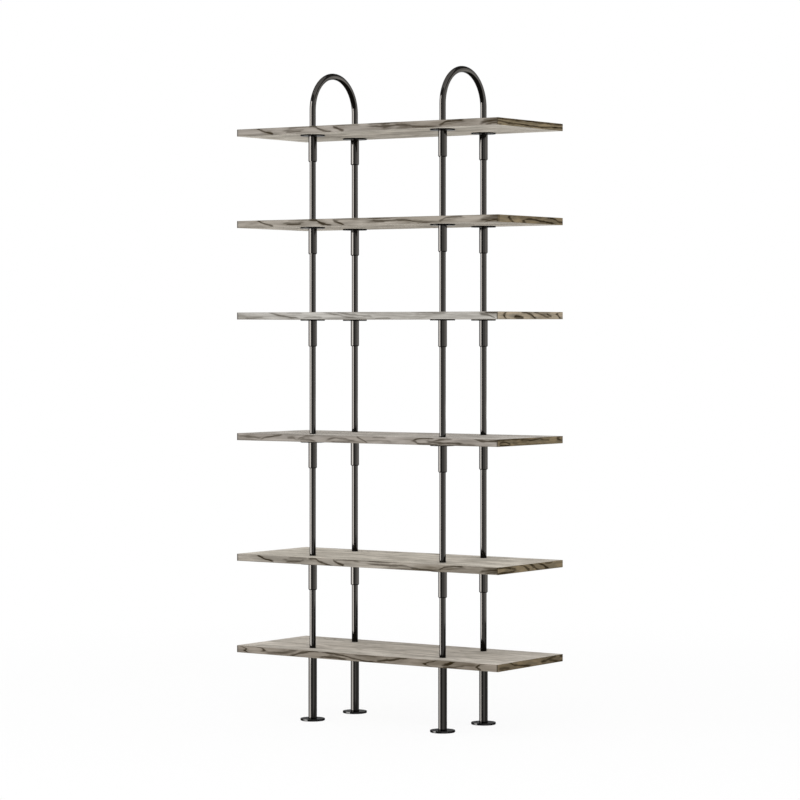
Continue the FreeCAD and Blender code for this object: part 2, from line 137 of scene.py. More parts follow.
# What the noises do: from two values of a noise to two shares, which are 0 and 1 if not given
PORE_RANGE = 0.62, 0.74
DRIFT_UP_RANGE = 0.0, 1.0, -0.10, 0.10
DRIFT_ALONG_RANGE = 0.0, 1.0, -0.004, 0.004
SPREAD_RANGE = 0.35, 0.65, 0.68, 1.45
WISP_RANGE = 0.58, 1.0
WISP_PATCH_RANGE = 0.46, 0.62
RING_RANGE = 0.17, 0.02
CLUSTER_RANGE = 0.38, 0.60, 0.15, 1.0
PUFF_RANGE = 0.36, 0.62, 0.66, 1.08
STREAK_BREAK_RANGE = 0.35, 0.65, 0.72, 1.10
FIBRE_BREAK_RANGE = 0.35, 0.65, 0.86, 1.06
CORE_BREAK_RANGE = 0.62, 1.1, 0.80, 1.04
CORE_DEPTH_RANGE = 0.38, 0.60, 0.76, 1.05
GREY_RANGE = 0.60, 0.80
VENEER_ROUGHNESS_RANGE = 0.3, 0.7, 0.52, 0.64

# How strong the parts of the veneer are
WISP_SHARE = 0.50
RING_SHARE = 0.42
PORE_SHARE = 0.12
PORE_DEPTH_SHARE = 0.8
STREAK_SHARE = 0.55
CLOUD_SHARE = 0.65
FIBRE_SHARE = 0.20
VENEER_SPECULAR = 0.0

# Lines at the joints of the veneers: where they fade in and are full, in metres from the end of a
# long edge or from an edge's upper and lower side, and how dark they are
CORNER_INSETS = 0.0070, 0.0020
CORNER_DARKNESS = 0.80
GLUE_INSETS = 0.0018, 0.0006
GLUE_DARKNESS = 0.45

# A face counts as looking along an axis where that part of its normal is over this
FACE_LIMIT = 0.7

# A vein has a dark core, which is full within CORE_FLAT times the vein's widths and ends at
# CORE_REACH times, and smoke beside it, which ends at SMOKE_REACH times. Both fade over a share of
# the vein's length at each end
CORE_REACH = 1.7
CORE_FLAT = 0.65
CORE_DARKNESS = 1.15
CORE_FADING_SHARES = {"level": 0.15, "steep": 0.06}
SMOKE_REACH = 4.4
SMOKE_FADING_SHARE = 0.30
VEIN_SMOKE_SHARE = 0.60

# The world's light, and how bright it is where it is seen
WORLD_STRENGTH = 0.8
BACKDROP_STRENGTH = 1.0

# The floor lies a little low, clear of the feet's lower faces. FLOOR_CLEAR_RANGE goes from two
# distances from its middle to two shares of it that the camera sees through
FLOOR_LENGTH = 60.0
FLOOR_DROP = 0.0005
FLOOR_CLEAR_RANGE = 1.5, 4.0, 0.93, 1.0

# Soft lamps that light everything, but aren't seen in a gloss: place, target, size and power
ROOM_LAMPS = {
    "key_light": ((-2.6, -3.2, 3.6), (0, 0, 1.0), (2.5, 2.5), 42),
    "fill_light": ((2.4, -3.6, 2.8), (0, 0, 0.9), (2.5, 2.5), 70),
}

# Tall softboxes that only the metal shows, as highlights along its rounds: from one place on the
# floor to another, then from a lower to an upper height, and how bright each is. The floor is
# clear to a gloss, so it doesn't hide the low ones
GLOSS_CARDS = {
    "left_card_front": ((-0.62, -1.50), (-1.40, -1.30), (0.05, 2.9), 50.0),
    "left_card_middle": ((-1.40, -1.30), (-1.80, -0.85), (0.05, 2.9), 34.0),
    "left_card_front_low": ((-0.62, -1.50), (-1.40, -1.30), (-0.9, 0.05), 33.0),
    "left_card_middle_low": ((-1.40, -1.30), (-1.80, -0.85), (-0.9, 0.05), 21.0),
    "left_card_back": ((-1.80, -0.85), (-2.10, -0.20), (-0.9, 2.9), 8.0),
    "right_card": ((2.00, -0.25), (1.70, 1.00), (0.20, 2.9), 6.5),
    "right_card_back": ((1.70, 1.00), (0.30, 2.30), (0.20, 2.9), 7.5),
    "right_card_back_low": ((1.70, 1.00), (0.30, 2.30), (-0.9, 0.20), 1.8),
    "front_card": ((0.95, -1.75), (2.05, -0.20), (-0.22, 4.4), 2.6),
}

# Level softboxes above the hoops and behind the unit, seen in the same way: place, target, size
# and power
LEVEL_CARDS = {
    "ceiling_card": ((0.0, -0.6, 4.6), (0.0, -0.6, 0.0), (5.6, 3.4), 260),
    "low_card": ((1.5, 3.5, 1.0), (1.5, 3.5, 2.0), (4.6, 3.2), 230),
}

# Dark veins of the figure. A track is a list of (along, up) places, as shares of the face: along
# from 0 at its left end to 1 at its right end as one looks at it, up from 0 at its lower edge.
# "level" tracks run along the face and "steep" ones across it. Each has a strength and the
# widths of its lower or left side and of its upper or right side, in millimetres.
FRONT_VEIN_SHARES = {
    "smoke": [
        ("level", 0.85, 2.2, 3.2, [(0.075, 0.97), (0.088, 0.86), (0.102, 0.62), (0.115, 0.43),
                                   (0.132, 0.30), (0.152, 0.04)]),
        ("level", 0.65, 2.2, 2.4, [(0.194, 0.26), (0.215, 0.29), (0.235, 0.31), (0.262, 0.42)]),
        ("level", 0.40, 2.0, 2.4, [(0.180, 0.50), (0.210, 0.46), (0.240, 0.48), (0.275, 0.56)]),
        ("level", 0.35, 3.0, 2.5, [(0.200, 0.92), (0.235, 0.87), (0.270, 0.90), (0.290, 0.93)]),
        ("level", 0.85, 3.2, 2.4, [(0.280, 0.90), (0.300, 0.92), (0.314, 0.88), (0.323, 0.65),
                                   (0.337, 0.42), (0.358, 0.20), (0.385, 0.05)]),
        ("level", 0.80, 2.6, 3.4, [(0.378, 0.84), (0.388, 0.66), (0.399, 0.46), (0.412, 0.28),
                                   (0.428, 0.08)]),
        ("level", 0.50, 2.6, 2.6, [(0.382, 0.72), (0.397, 0.84), (0.425, 0.89), (0.450, 0.89),
                                   (0.490, 0.80)]),
        ("level", 0.60, 2.2, 2.8, [(0.505, 0.96), (0.535, 0.88), (0.565, 0.85), (0.600, 0.92),
                                   (0.640, 0.95)]),
        ("level", 0.70, 3.6, 2.4, [(0.498, 0.86), (0.515, 0.63), (0.540, 0.55), (0.600, 0.54),
                                   (0.640, 0.60), (0.668, 0.52), (0.700, 0.29), (0.740, 0.22),
                                   (0.775, 0.20), (0.800, 0.38)]),
        ("level", 0.90, 4.2, 2.0, [(0.776, 0.18), (0.795, 0.48), (0.808, 0.74), (0.830, 0.83),
                                   (0.880, 0.92)]),
        ("level", 0.40, 2.4, 2.0, [(0.785, 0.30), (0.820, 0.46), (0.860, 0.62), (0.890, 0.68)]),
        ("level", 0.30, 2.5, 2.0, [(0.560, 0.08), (0.610, 0.15), (0.660, 0.14), (0.700, 0.06)]),
        ("level", 0.90, 4.4, 4.6, [(0.930, 0.30), (0.950, 0.42), (0.968, 0.52), (0.985, 0.60),
                                   (1.040, 0.66)]),
        ("level", 0.80, 2.0, 2.6, [(0.948, 0.14), (0.970, 0.20), (0.985, 0.28), (1.040, 0.34)]),
        ("level", 0.60, 1.8, 1.8, [(0.940, 0.70), (0.965, 0.78), (0.990, 0.86), (1.040, 0.90)]),
    ],
    "hump": [
        ("steep", 0.85, 4.0, 5.0, [(0.046, 0.02), (0.036, 0.20), (0.031, 0.35), (0.038, 0.57),
                                   (0.027, 0.75), (0.010, 0.93)]),
        ("steep", 0.85, 6.0, 5.0, [(0.100, 0.34), (0.110, 0.48), (0.108, 0.66), (0.096, 0.86),
                                   (0.072, 0.97)]),
        ("level", 0.60, 4.5, 3.0, [(0.108, 0.16), (0.130, 0.24), (0.160, 0.37), (0.185, 0.47),
                                   (0.203, 0.64), (0.222, 0.83), (0.250, 0.95)]),
        ("level", 0.80, 2.2, 3.2, [(0.205, 0.06), (0.222, 0.14), (0.237, 0.32), (0.252, 0.54),
                                   (0.280, 0.76), (0.300, 0.88), (0.335, 0.94)]),
        ("level", 0.85, 3.2, 2.0, [(0.325, 0.95), (0.365, 0.92), (0.385, 0.84), (0.410, 0.73),
                                   (0.432, 0.62), (0.450, 0.44), (0.480, 0.27), (0.510, 0.15),
                                   (0.560, 0.12)]),
        ("level", 0.85, 2.6, 3.6, [(0.325, 0.06), (0.345, 0.26), (0.365, 0.33), (0.398, 0.32),
                                   (0.415, 0.20), (0.440, 0.08)]),
        ("level", 0.45, 2.4, 2.8, [(0.460, 0.86), (0.490, 0.84), (0.520, 0.88), (0.555, 0.84)]),
        ("level", 0.80, 2.4, 3.6, [(0.542, 0.08), (0.556, 0.24), (0.580, 0.40), (0.605, 0.50),
                                   (0.625, 0.68), (0.650, 0.86), (0.675, 0.96)]),
        ("steep", 0.95, 5.0, 8.0, [(0.762, 0.05), (0.742, 0.15), (0.730, 0.32), (0.729, 0.46),
                                   (0.743, 0.60), (0.760, 0.78), (0.785, 0.96)]),
        ("steep", 0.90, 14.0, 7.0, [(0.806, 0.30), (0.820, 0.46), (0.825, 0.62), (0.831, 0.80),
                                    (0.842, 0.96)]),
        ("level", 0.65, 3.0, 3.2, [(0.790, 0.08), (0.815, 0.14), (0.838, 0.20), (0.860, 0.36),
                                   (0.885, 0.46)]),
        ("steep", 0.97, 6.0, 6.0, [(0.936, 0.02), (0.930, 0.30), (0.922, 0.46), (0.929, 0.62),
                                   (0.936, 0.82), (0.955, 0.97)]),
        ("level", 0.30, 2.0, 2.5, [(0.840, 0.28), (0.870, 0.50), (0.900, 0.62), (0.925, 0.80)]),
    ],
    "flame": [
        ("level", 0.50, 3.6, 2.4, [(0.002, 0.50), (0.015, 0.64), (0.035, 0.62), (0.070, 0.50),
                                   (0.105, 0.47)]),
        ("level", 0.70, 2.8, 2.4, [(0.090, 0.05), (0.100, 0.30), (0.115, 0.50), (0.140, 0.62),
                                   (0.165, 0.80), (0.190, 0.95)]),
        ("level", 0.55, 3.4, 2.6, [(0.236, 0.06), (0.247, 0.42), (0.266, 0.68), (0.285, 0.86),
                                   (0.315, 0.94)]),
        ("level", 0.45, 2.6, 2.6, [(0.200, 0.48), (0.222, 0.54), (0.235, 0.38), (0.246, 0.10)]),
        ("level", 0.65, 2.6, 3.0, [(0.246, 0.26), (0.265, 0.36), (0.290, 0.30), (0.318, 0.08)]),
        ("level", 0.60, 2.4, 3.0, [(0.350, 0.22), (0.368, 0.48), (0.386, 0.61), (0.412, 0.60),
                                   (0.436, 0.48), (0.452, 0.38), (0.475, 0.36)]),
        ("level", 0.50, 2.4, 2.2, [(0.370, 0.14), (0.405, 0.09), (0.440, 0.12), (0.455, 0.24)]),
        ("level", 0.80, 3.6, 2.6, [(0.470, 0.97), (0.483, 0.76), (0.496, 0.50), (0.507, 0.30),
                                   (0.518, 0.06)]),
        ("level", 0.40, 2.4, 2.2, [(0.502, 0.40), (0.530, 0.41), (0.560, 0.46), (0.610, 0.45)]),
        ("level", 0.35, 2.0, 2.0, [(0.530, 0.86), (0.560, 0.88), (0.590, 0.86)]),
        ("level", 0.80, 2.6, 2.4, [(0.676, 0.42), (0.688, 0.56), (0.702, 0.78), (0.722, 0.88),
                                   (0.770, 0.92)]),
        ("level", 0.75, 2.6, 2.6, [(0.676, 0.52), (0.695, 0.42), (0.710, 0.20), (0.740, 0.10),
                                   (0.790, 0.07)]),
        ("level", 0.70, 3.4, 2.2, [(0.732, 0.46), (0.760, 0.52), (0.785, 0.74), (0.805, 0.86),
                                   (0.840, 0.95)]),
        ("level", 0.80, 2.4, 3.0, [(0.732, 0.54), (0.765, 0.37), (0.800, 0.30), (0.835, 0.33),
                                   (0.880, 0.26)]),
        ("level", 0.55, 2.4, 2.2, [(0.790, 0.07), (0.830, 0.08), (0.875, 0.13), (0.930, 0.09)]),
        ("level", 0.80, 2.2, 3.2, [(0.908, 0.97), (0.928, 0.84), (0.945, 0.71), (0.965, 0.69),
                                   (0.984, 0.74), (1.020, 0.98)]),
    ],
    "haze": [
        ("level", 0.35, 3.0, 3.0, [(0.030, 0.05), (0.060, 0.16), (0.085, 0.28), (0.110, 0.30)]),
        ("level", 0.60, 2.2, 3.0, [(0.120, 0.95), (0.145, 0.80), (0.166, 0.58), (0.190, 0.43),
                                   (0.215, 0.29), (0.238, 0.24), (0.256, 0.05)]),
        ("level", 0.35, 2.4, 2.4, [(0.195, 0.86), (0.230, 0.92), (0.265, 0.88)]),
        ("level", 0.40, 2.0, 2.2, [(0.262, 0.24), (0.300, 0.27), (0.345, 0.26)]),
        ("level", 0.45, 2.2, 2.6, [(0.330, 0.97), (0.360, 0.88), (0.385, 0.70), (0.415, 0.48),
                                   (0.440, 0.31), (0.480, 0.24)]),
        ("level", 0.50, 2.2, 2.4, [(0.385, 0.97), (0.415, 0.85), (0.440, 0.68), (0.475, 0.55),
                                   (0.500, 0.48), (0.517, 0.48), (0.530, 0.32), (0.545, 0.10)]),
        ("level", 0.45, 2.0, 2.4, [(0.540, 0.06), (0.570, 0.10), (0.610, 0.08)]),
        ("level", 0.40, 2.4, 2.0, [(0.670, 0.85), (0.720, 0.90), (0.770, 0.88), (0.820, 0.84)]),
        ("level", 0.65, 3.2, 2.4, [(0.930, 0.78), (0.950, 0.62), (0.968, 0.52), (0.982, 0.30),
                                   (0.996, 0.10)]),
        ("level", 0.75, 2.4, 2.6, [(0.945, 0.84), (0.965, 0.86), (0.985, 0.84), (1.040, 0.76)]),
    ],
}

END_VEIN_SHARES = {
    1: [
        ("level", 0.95, 2.4, 3.4, [(0.150, 0.98), (0.195, 0.84), (0.250, 0.60), (0.300, 0.46),
                                   (0.360, 0.34), (0.420, 0.21), (0.520, 0.08)]),
        ("level", 0.80, 5.0, 3.0, [(0.640, 0.46), (0.720, 0.50), (0.790, 0.66), (0.850, 0.86),
                                   (0.920, 0.96)]),
        ("level", 0.85, 3.5, 3.5, [(0.760, 0.52), (0.820, 0.38), (0.870, 0.26), (0.930, 0.17),
                                   (1.060, 0.10)]),
        ("level", 0.55, 5.0, 4.0, [(0.010, 0.36), (0.060, 0.40), (0.120, 0.38), (0.190, 0.24)]),
        ("level", 0.45, 2.5, 2.5, [(0.020, 0.12), (0.080, 0.10), (0.160, 0.05)]),
        ("level", 0.80, 4.0, 4.0, [(0.940, 0.98), (0.970, 0.86), (1.050, 0.60)]),
    ],
    2: [
        ("level", 0.90, 2.6, 3.0, [(-0.060, 0.90), (0.080, 0.88), (0.150, 0.80), (0.220, 0.62),
                                   (0.270, 0.48), (0.300, 0.40)]),
        ("level", 0.90, 2.6, 3.4, [(-0.060, 0.08), (0.090, 0.12), (0.180, 0.15), (0.240, 0.22),
                                   (0.285, 0.40)]),
        ("steep", 0.95, 7.0, 9.0, [(0.468, 0.04), (0.455, 0.30), (0.425, 0.58), (0.385, 0.80),
                                   (0.325, 0.98)]),
        ("steep", 0.95, 7.0, 9.0, [(0.618, 0.04), (0.580, 0.26), (0.548, 0.52), (0.518, 0.76),
                                   (0.475, 0.98)]),
        ("steep", 0.97, 8.0, 9.0, [(0.760, 0.04), (0.734, 0.28), (0.712, 0.50), (0.680, 0.72),
                                   (0.620, 0.94)]),
        ("level", 0.60, 2.5, 2.5, [(0.710, 0.92), (0.770, 0.84), (0.820, 0.86), (0.850, 0.95)]),
    ],
    3: [
        ("level", 0.80, 2.6, 2.8, [(-0.150, 0.86), (0.120, 0.88), (0.280, 0.89), (0.380, 0.82),
                                   (0.460, 0.70), (0.510, 0.66), (0.580, 0.73), (0.650, 0.84),
                                   (0.710, 0.96)]),
        ("level", 0.60, 3.2, 2.6, [(0.630, 0.84), (0.690, 0.66), (0.750, 0.60), (0.800, 0.60)]),
        ("level", 0.95, 2.0, 2.4, [(0.012, 0.28), (0.045, 0.48), (0.095, 0.56), (0.150, 0.46),
                                   (0.200, 0.30)]),
        ("level", 0.95, 2.2, 2.0, [(0.012, 0.32), (0.045, 0.18), (0.100, 0.13), (0.155, 0.14),
                                   (0.200, 0.34)]),
        ("level", 0.40, 2.8, 2.8, [(0.200, 0.36), (0.280, 0.46), (0.360, 0.52), (0.460, 0.48)]),
        ("level", 0.35, 2.0, 2.4, [(0.200, 0.10), (0.400, 0.13), (0.560, 0.10), (0.720, 0.12)]),
        ("steep", 0.95, 6.0, 10.0, [(0.985, 0.40), (0.945, 0.50), (0.922, 0.66), (0.925, 0.82),
                                    (0.945, 0.97)]),
    ],
    4: [
        ("steep", 0.90, 5.0, 6.0, [(0.128, 0.02), (0.102, 0.25), (0.096, 0.50), (0.103, 0.78),
                                   (0.125, 0.97)]),
        ("level", 0.90, 6.0, 4.0, [(0.235, 0.18), (0.275, 0.34), (0.310, 0.38), (0.345, 0.26),
                                   (0.400, 0.10)]),
        ("level", 0.80, 2.0, 3.0, [(0.255, 0.06), (0.300, 0.10), (0.390, 0.09)]),
        ("level", 0.90, 3.0, 2.4, [(0.340, 0.93), (0.420, 0.88), (0.480, 0.68), (0.525, 0.46),
                                   (0.555, 0.24), (0.600, 0.03)]),
        ("level", 0.75, 2.4, 4.0, [(0.530, 0.95), (0.600, 0.85), (0.650, 0.65), (0.695, 0.45),
                                   (0.745, 0.28), (0.800, 0.12)]),
        ("level", 0.75, 3.0, 3.0, [(0.740, 0.90), (0.765, 0.62), (0.795, 0.46), (0.830, 0.40)]),
        ("steep", 0.90, 5.0, 7.0, [(0.955, 0.04), (0.945, 0.22), (0.925, 0.46), (0.905, 0.66),
                                   (0.925, 0.82), (0.975, 0.92)]),
    ],
    5: [
        ("steep", 0.97, 6.0, 7.0, [(0.250, 0.02), (0.215, 0.22), (0.182, 0.48), (0.168, 0.70),
                                   (0.190, 0.92)]),
        ("level", 0.95, 2.6, 3.0, [(0.372, 0.30), (0.400, 0.48), (0.480, 0.57), (0.550, 0.53),
                                   (0.620, 0.43), (0.690, 0.37), (0.760, 0.25), (0.830, 0.15),
                                   (0.900, 0.05)]),
        ("steep", 0.85, 7.0, 7.0, [(0.400, 0.04), (0.393, 0.22), (0.388, 0.44)]),
        ("level", 0.95, 3.4, 2.6, [(0.735, 0.94), (0.830, 0.88), (0.880, 0.74), (0.920, 0.52),
                                   (0.960, 0.43), (1.060, 0.38)]),
        ("level", 0.45, 2.2, 2.2, [(0.180, 0.92), (0.300, 0.84), (0.450, 0.86), (0.600, 0.84),
                                   (0.740, 0.90)]),
        ("steep", 0.50, 6.0, 6.0, [(0.004, 0.05), (0.006, 0.50), (0.010, 0.95)]),
    ],
    6: [
        ("level", 0.90, 2.2, 2.8, [(-0.300, 0.60), (0.060, 0.49), (0.130, 0.41), (0.220, 0.34),
                                   (0.320, 0.33), (0.420, 0.31), (0.520, 0.24), (0.620, 0.22),
                                   (0.720, 0.27), (0.800, 0.34), (0.900, 0.38), (1.300, 0.36)]),
        ("level", 0.85, 2.4, 3.4, [(-0.300, 0.90), (0.100, 0.82), (0.200, 0.84), (0.300, 0.82),
                                   (0.420, 0.88), (0.550, 0.87), (0.660, 0.80), (0.750, 0.84),
                                   (0.850, 0.78), (0.950, 0.82), (1.300, 0.84)]),
        ("level", 0.60, 2.6, 3.0, [(0.000, 0.08), (0.030, 0.04), (0.060, 0.02)]),
        ("level", 0.30, 1.8, 1.8, [(0.150, 0.62), (0.300, 0.66), (0.450, 0.60), (0.620, 0.64)]),
    ],
}

# Patches of smoke between the veins: strength, then from and to along the face, then from and to
# up it
FRONT_SMOKE_SHARES = {
    "smoke": [(0.35, -0.20, 0.06, -0.5, 0.28), (0.30, 0.06, 0.11, 0.70, 1.5),
              (0.27, 0.18, 0.28, 0.10, 0.60), (0.32, 0.27, 0.34, 0.60, 1.5),
              (0.25, 0.37, 0.50, 0.55, 1.5), (0.20, 0.50, 0.66, 0.10, 0.75),
              (0.72, 0.68, 0.81, -0.5, 0.95), (0.66, 0.76, 0.86, 0.10, 1.5),
              (0.42, 0.62, 1.2, -0.5, 1.5), (0.35, 0.82, 0.95, -0.5, 0.50),
              (0.95, 0.950, 1.2, 0.05, 1.0)],
    "hump": [(0.35, 0.10, 0.24, -0.5, 0.45), (0.30, 0.28, 0.48, -0.5, 0.55),
             (0.45, 0.40, 0.60, -0.5, 0.45), (0.45, 0.50, 0.71, 0.25, 1.5),
             (0.50, 0.68, 0.86, -0.5, 1.5), (0.45, 0.80, 0.95, -0.5, 1.5),
             (0.25, 0.93, 1.2, -0.5, 1.5)],
    "flame": [(0.40, -0.2, 0.13, 0.25, 0.80), (0.30, 0.08, 0.13, 0.10, 0.70),
              (0.35, 0.21, 0.31, -0.5, 0.60), (0.35, 0.34, 0.48, 0.10, 0.70),
              (0.50, 0.45, 0.52, -0.5, 0.90), (0.35, 0.66, 0.72, 0.20, 0.80),
              (0.40, 0.72, 0.92, 0.10, 0.55), (0.30, 0.90, 1.2, 0.60, 1.5),
              (0.25, 0.78, 1.2, -0.5, 0.30)],
    "haze": [(0.30, -0.2, 0.12, -0.5, 0.60), (0.15, 0.46, 1.2, -0.5, 1.5),
             (0.35, 0.93, 1.2, 0.20, 1.5)],
}
END_SMOKE_SHARES = {
    1: [(0.55, -0.2, 0.30, 0.10, 1.5), (0.50, 0.15, 0.50, -0.2, 0.75),
        (0.95, 0.66, 1.2, -0.5, 1.5)],
    2: [(0.45, 0.10, 0.32, -0.5, 1.5), (0.40, 0.30, 0.50, 0.30, 1.5),
        (0.40, 0.50, 0.76, -0.5, 0.60)],
    3: [(0.55, -0.2, 0.62, 0.70, 1.5), (0.45, -0.2, 0.22, -0.2, 0.70),
        (0.35, 0.20, 0.45, 0.1, 0.7), (0.40, 0.35, 0.75, 0.40, 0.9),
        (0.35, 0.40, 0.90, -0.5, 0.35), (0.60, 0.90, 1.2, 0.20, 1.5)],
    4: [(0.45, 0.22, 0.36, -0.5, 0.60), (0.55, 0.62, 0.80, 0.10, 1.5)],
    5: [(0.45, 0.14, 0.27, -0.5, 1.5), (0.55, 0.33, 0.50, -0.5, 0.70),
        (0.45, 0.48, 0.95, -0.5, 0.6), (0.50, 0.72, 1.2, 0.40, 1.5)],
    6: [(0.45, -0.3, 0.45, 0.55, 1.5), (0.45, 0.10, 1.3, 0.10, 0.55),
        (0.55, 0.62, 1.3, 0.70, 1.5)],
}

# How far the edge of a patch reaches to each side, along the face and up it
SMOKE_EDGE_SHARES = 0.03, 0.22

# Which figure each long edge has, by level from the lowest: front, then back
EDGE_FIGURES = {
    1: ("hump", "haze"),
    2: ("smoke", "flame"),
    3: ("flame", "hump"),
    4: ("haze", "smoke"),
    5: ("smoke", "hump"),
    6: ("smoke", "flame"),
}


class Nodes:
    """Adds nodes to one shader tree. An input is a number, a colour or another node's socket."""

    def __init__(self, tree):
        self.tree = tree

    def add(self, kind, inputs=None, **settings):
        node = self.tree.nodes.new(kind)
        for name, value in settings.items():
            setattr(node, name, value)
        for name, value in (inputs or {}).items():
            self.connect(value, node.inputs[name])
        return node

    def connect(self, value, socket):
        if isinstance(value, bpy.types.NodeSocket):
            self.tree.links.new(value, socket)
        else:
            socket.default_value = value

    def place(self):
        """Place of a point of a surface in its object's axes, which are the frame's."""
        return self.add("ShaderNodeTexCoord").outputs["Object"]

    def normal(self):
        return self.add("ShaderNodeNewGeometry").outputs["True Normal"]

    def split(self, vector):
        return self.add("ShaderNodeSeparateXYZ", {0: vector}).outputs

    def math(self, operation, first, second=0.0, clamp=False):
        inputs = {0: first, 1: second}
        node = self.add("ShaderNodeMath", inputs, operation=operation, use_clamp=clamp)
        return node.outputs[0]

    def vector_math(self, operation, first, second=(0.0, 0.0, 0.0)):
        inputs = {0: first, 1: second}
        return self.add("ShaderNodeVectorMath", inputs, operation=operation).outputs[0]

    def length(self, vector):
        node = self.add("ShaderNodeVectorMath", {0: vector}, operation="LENGTH")
        return node.outputs["Value"]

    def remap(self, value, start, end, low=0.0, high=1.0, smooth=False, clamp=True):
        """A smooth step stays in its range by itself, and each clamp takes room in the shader."""
        kind = "SMOOTHSTEP" if smooth else "LINEAR"
        inputs = {"Value": value, "From Min": start, "From Max": end, "To Min": low, "To Max": high}
        node = self.add("ShaderNodeMapRange", inputs, interpolation_type=kind,
                        clamp=clamp and not smooth)
        return node.outputs["Result"]

    def noise(self, vector, scale, detail, roughness=0.5, distortion=0.0):
        inputs = {"Vector": vector, "Scale": scale, "Detail": detail, "Roughness": roughness,
                  "Distortion": distortion}
        return self.add("ShaderNodeTexNoise", inputs).outputs["Fac"]

    def mix(self, factor, first, second):
        """A mix of two colours, whose sockets come after those for numbers and vectors."""
        node = self.add("ShaderNodeMix", data_type="RGBA")
        self.connect(factor, node.inputs[0])
        self.connect(first, node.inputs[6])
        self.connect(second, node.inputs[7])
        return node.outputs[2]

    def blended(self, factor, first, second):
        """A mix of two numbers."""
        return self.add("ShaderNodeMix", {0: factor, 2: first, 3: second}).outputs[0]

    def curve(self, value, points):
        """A smooth curve through points whose values lie between 0 and 1."""
        node = self.add("ShaderNodeFloatCurve", {"Value": value})
        curve = node.mapping.curves[0]
        for point in points[1:-1]:
            curve.points.new(*point)
        curve.points[0].location = points[0]
        curve.points[-1].location = points[-1]
        node.mapping.update()
        return node.outputs["Value"]

    def bump(self, height, strength, distance):
        inputs = {"Height": height, "Strength": strength, "Distance": distance}
        return self.add("ShaderNodeBump", inputs).outputs["Normal"]


def rgba(colour, share=1.0):
    """A colour for a socket, or a share of it, which is lighter where the share is over 1."""
    return (*(share * part for part in colour), 1.0)


def new_material(name):
    """A material with an empty tree but for its output and one Principled shader."""
    material = bpy.data.materials.new(name)
    material.use_nodes = True
    tree = material.node_tree
    tree.nodes.clear()
    nodes = Nodes(tree)
    shader = nodes.add("ShaderNodeBsdfPrincipled")
    output = nodes.add("ShaderNodeOutputMaterial")
    tree.links.new(shader.outputs["BSDF"], output.inputs["Surface"])
    return material, nodes, shader


# The wood's figure


def vein(nodes, along, up, spread, face_length, track):
    """Darkness of one vein's core and of its smoke at a place of a face, from 0 to its strength."""
    direction, strength, low_width, high_width, points = track
    if direction == "level":
        run, rise, rise_length = along, up, SHELF_THICKNESS
    else:
        run, rise, rise_length = up, along, face_length
        points = [(b, a) for a, b in points]
    start, end = points[0][0], points[-1][0]
    share = nodes.remap(run, start, end, clamp=False)
    shares = [((a - start) / (end - start), b) for a, b in points]
    centre = nodes.curve(share, shares)
    millimetres = nodes.math("MULTIPLY", spread, rise_length * MILLIMETRES_PER_METRE)
    offset = nodes.math("MULTIPLY", nodes.math("SUBTRACT", rise, centre), millimetres)

    def profile(reach, flat, fading, strength):
        """A line with soft sides, which fades in at its start and out at its end."""
        below = nodes.remap(offset, -reach * low_width, -flat * low_width, smooth=True)
        above = nodes.remap(offset, reach * high_width, flat * high_width, smooth=True)
        starts = nodes.remap(share, 0.0, fading, 0.0, strength, smooth=True)
        ends = nodes.remap(share, 1.0, 1.0 - fading, smooth=True)
        across = nodes.math("MINIMUM", below, above)
        return nodes.math("MULTIPLY", across, nodes.math("MULTIPLY", starts, ends))

    darkness = min(1.0, CORE_DARKNESS * strength)
    core = profile(CORE_REACH, CORE_FLAT, CORE_FADING_SHARES[direction], darkness)
    smoke = profile(SMOKE_REACH, 0.0, SMOKE_FADING_SHARE, strength)
    return core, smoke


def smoke_patch(nodes, along, up, patch):
    """A soft-edged patch of smoke at a place of the face, from 0 to its strength."""
    strength, start, end, low, high = patch
    edge_along, edge_up = SMOKE_EDGE_SHARES
    starts = nodes.remap(along, start - edge_along, start + edge_along, smooth=True)
    ends = nodes.remap(along, end + edge_along, end - edge_along, smooth=True)
    rises = nodes.remap(up, low - edge_up, low + edge_up, smooth=True)
    tops = nodes.remap(up, high + edge_up, high - edge_up, smooth=True)
    inside = nodes.math("MULTIPLY", nodes.math("MULTIPLY", starts, ends),
                        nodes.math("MULTIPLY", rises, tops))
    return nodes.math("MULTIPLY", inside, strength)


def figure_group(name, tracks, patches, face_length):
    """A node group that turns a place on a face into the darkness of its veins and their smoke.

    Where Spread is over 1 the veins are thinner.
    """
    tree = bpy.data.node_groups.new(f"figure_{name}", "ShaderNodeTree")
    for socket in ("Along", "Up", "Spread"):
        tree.interface.new_socket(socket, in_out="INPUT", socket_type="NodeSocketFloat")
    for socket in ("Core", "Smoke"):
        tree.interface.new_socket(socket, in_out="OUTPUT", socket_type="NodeSocketFloat")
    nodes = Nodes(tree)
    along, up, spread = nodes.add("NodeGroupInput").outputs[:3]
    all_core = all_smoke = 0.0
    for track in tracks:
        core, smoke = vein(nodes, along, up, spread, face_length, track)
        all_core = nodes.math("MAXIMUM", all_core, core)
        all_smoke = nodes.math("MAXIMUM", all_smoke, smoke)
    all_smoke = nodes.math("MULTIPLY", all_smoke, VEIN_SMOKE_SHARE)
    for patch in patches:
        all_smoke = nodes.math("MAXIMUM", all_smoke, smoke_patch(nodes, along, up, patch))
    nodes.add("NodeGroupOutput", {"Core": all_core, "Smoke": all_smoke})
    return tree


# The wood


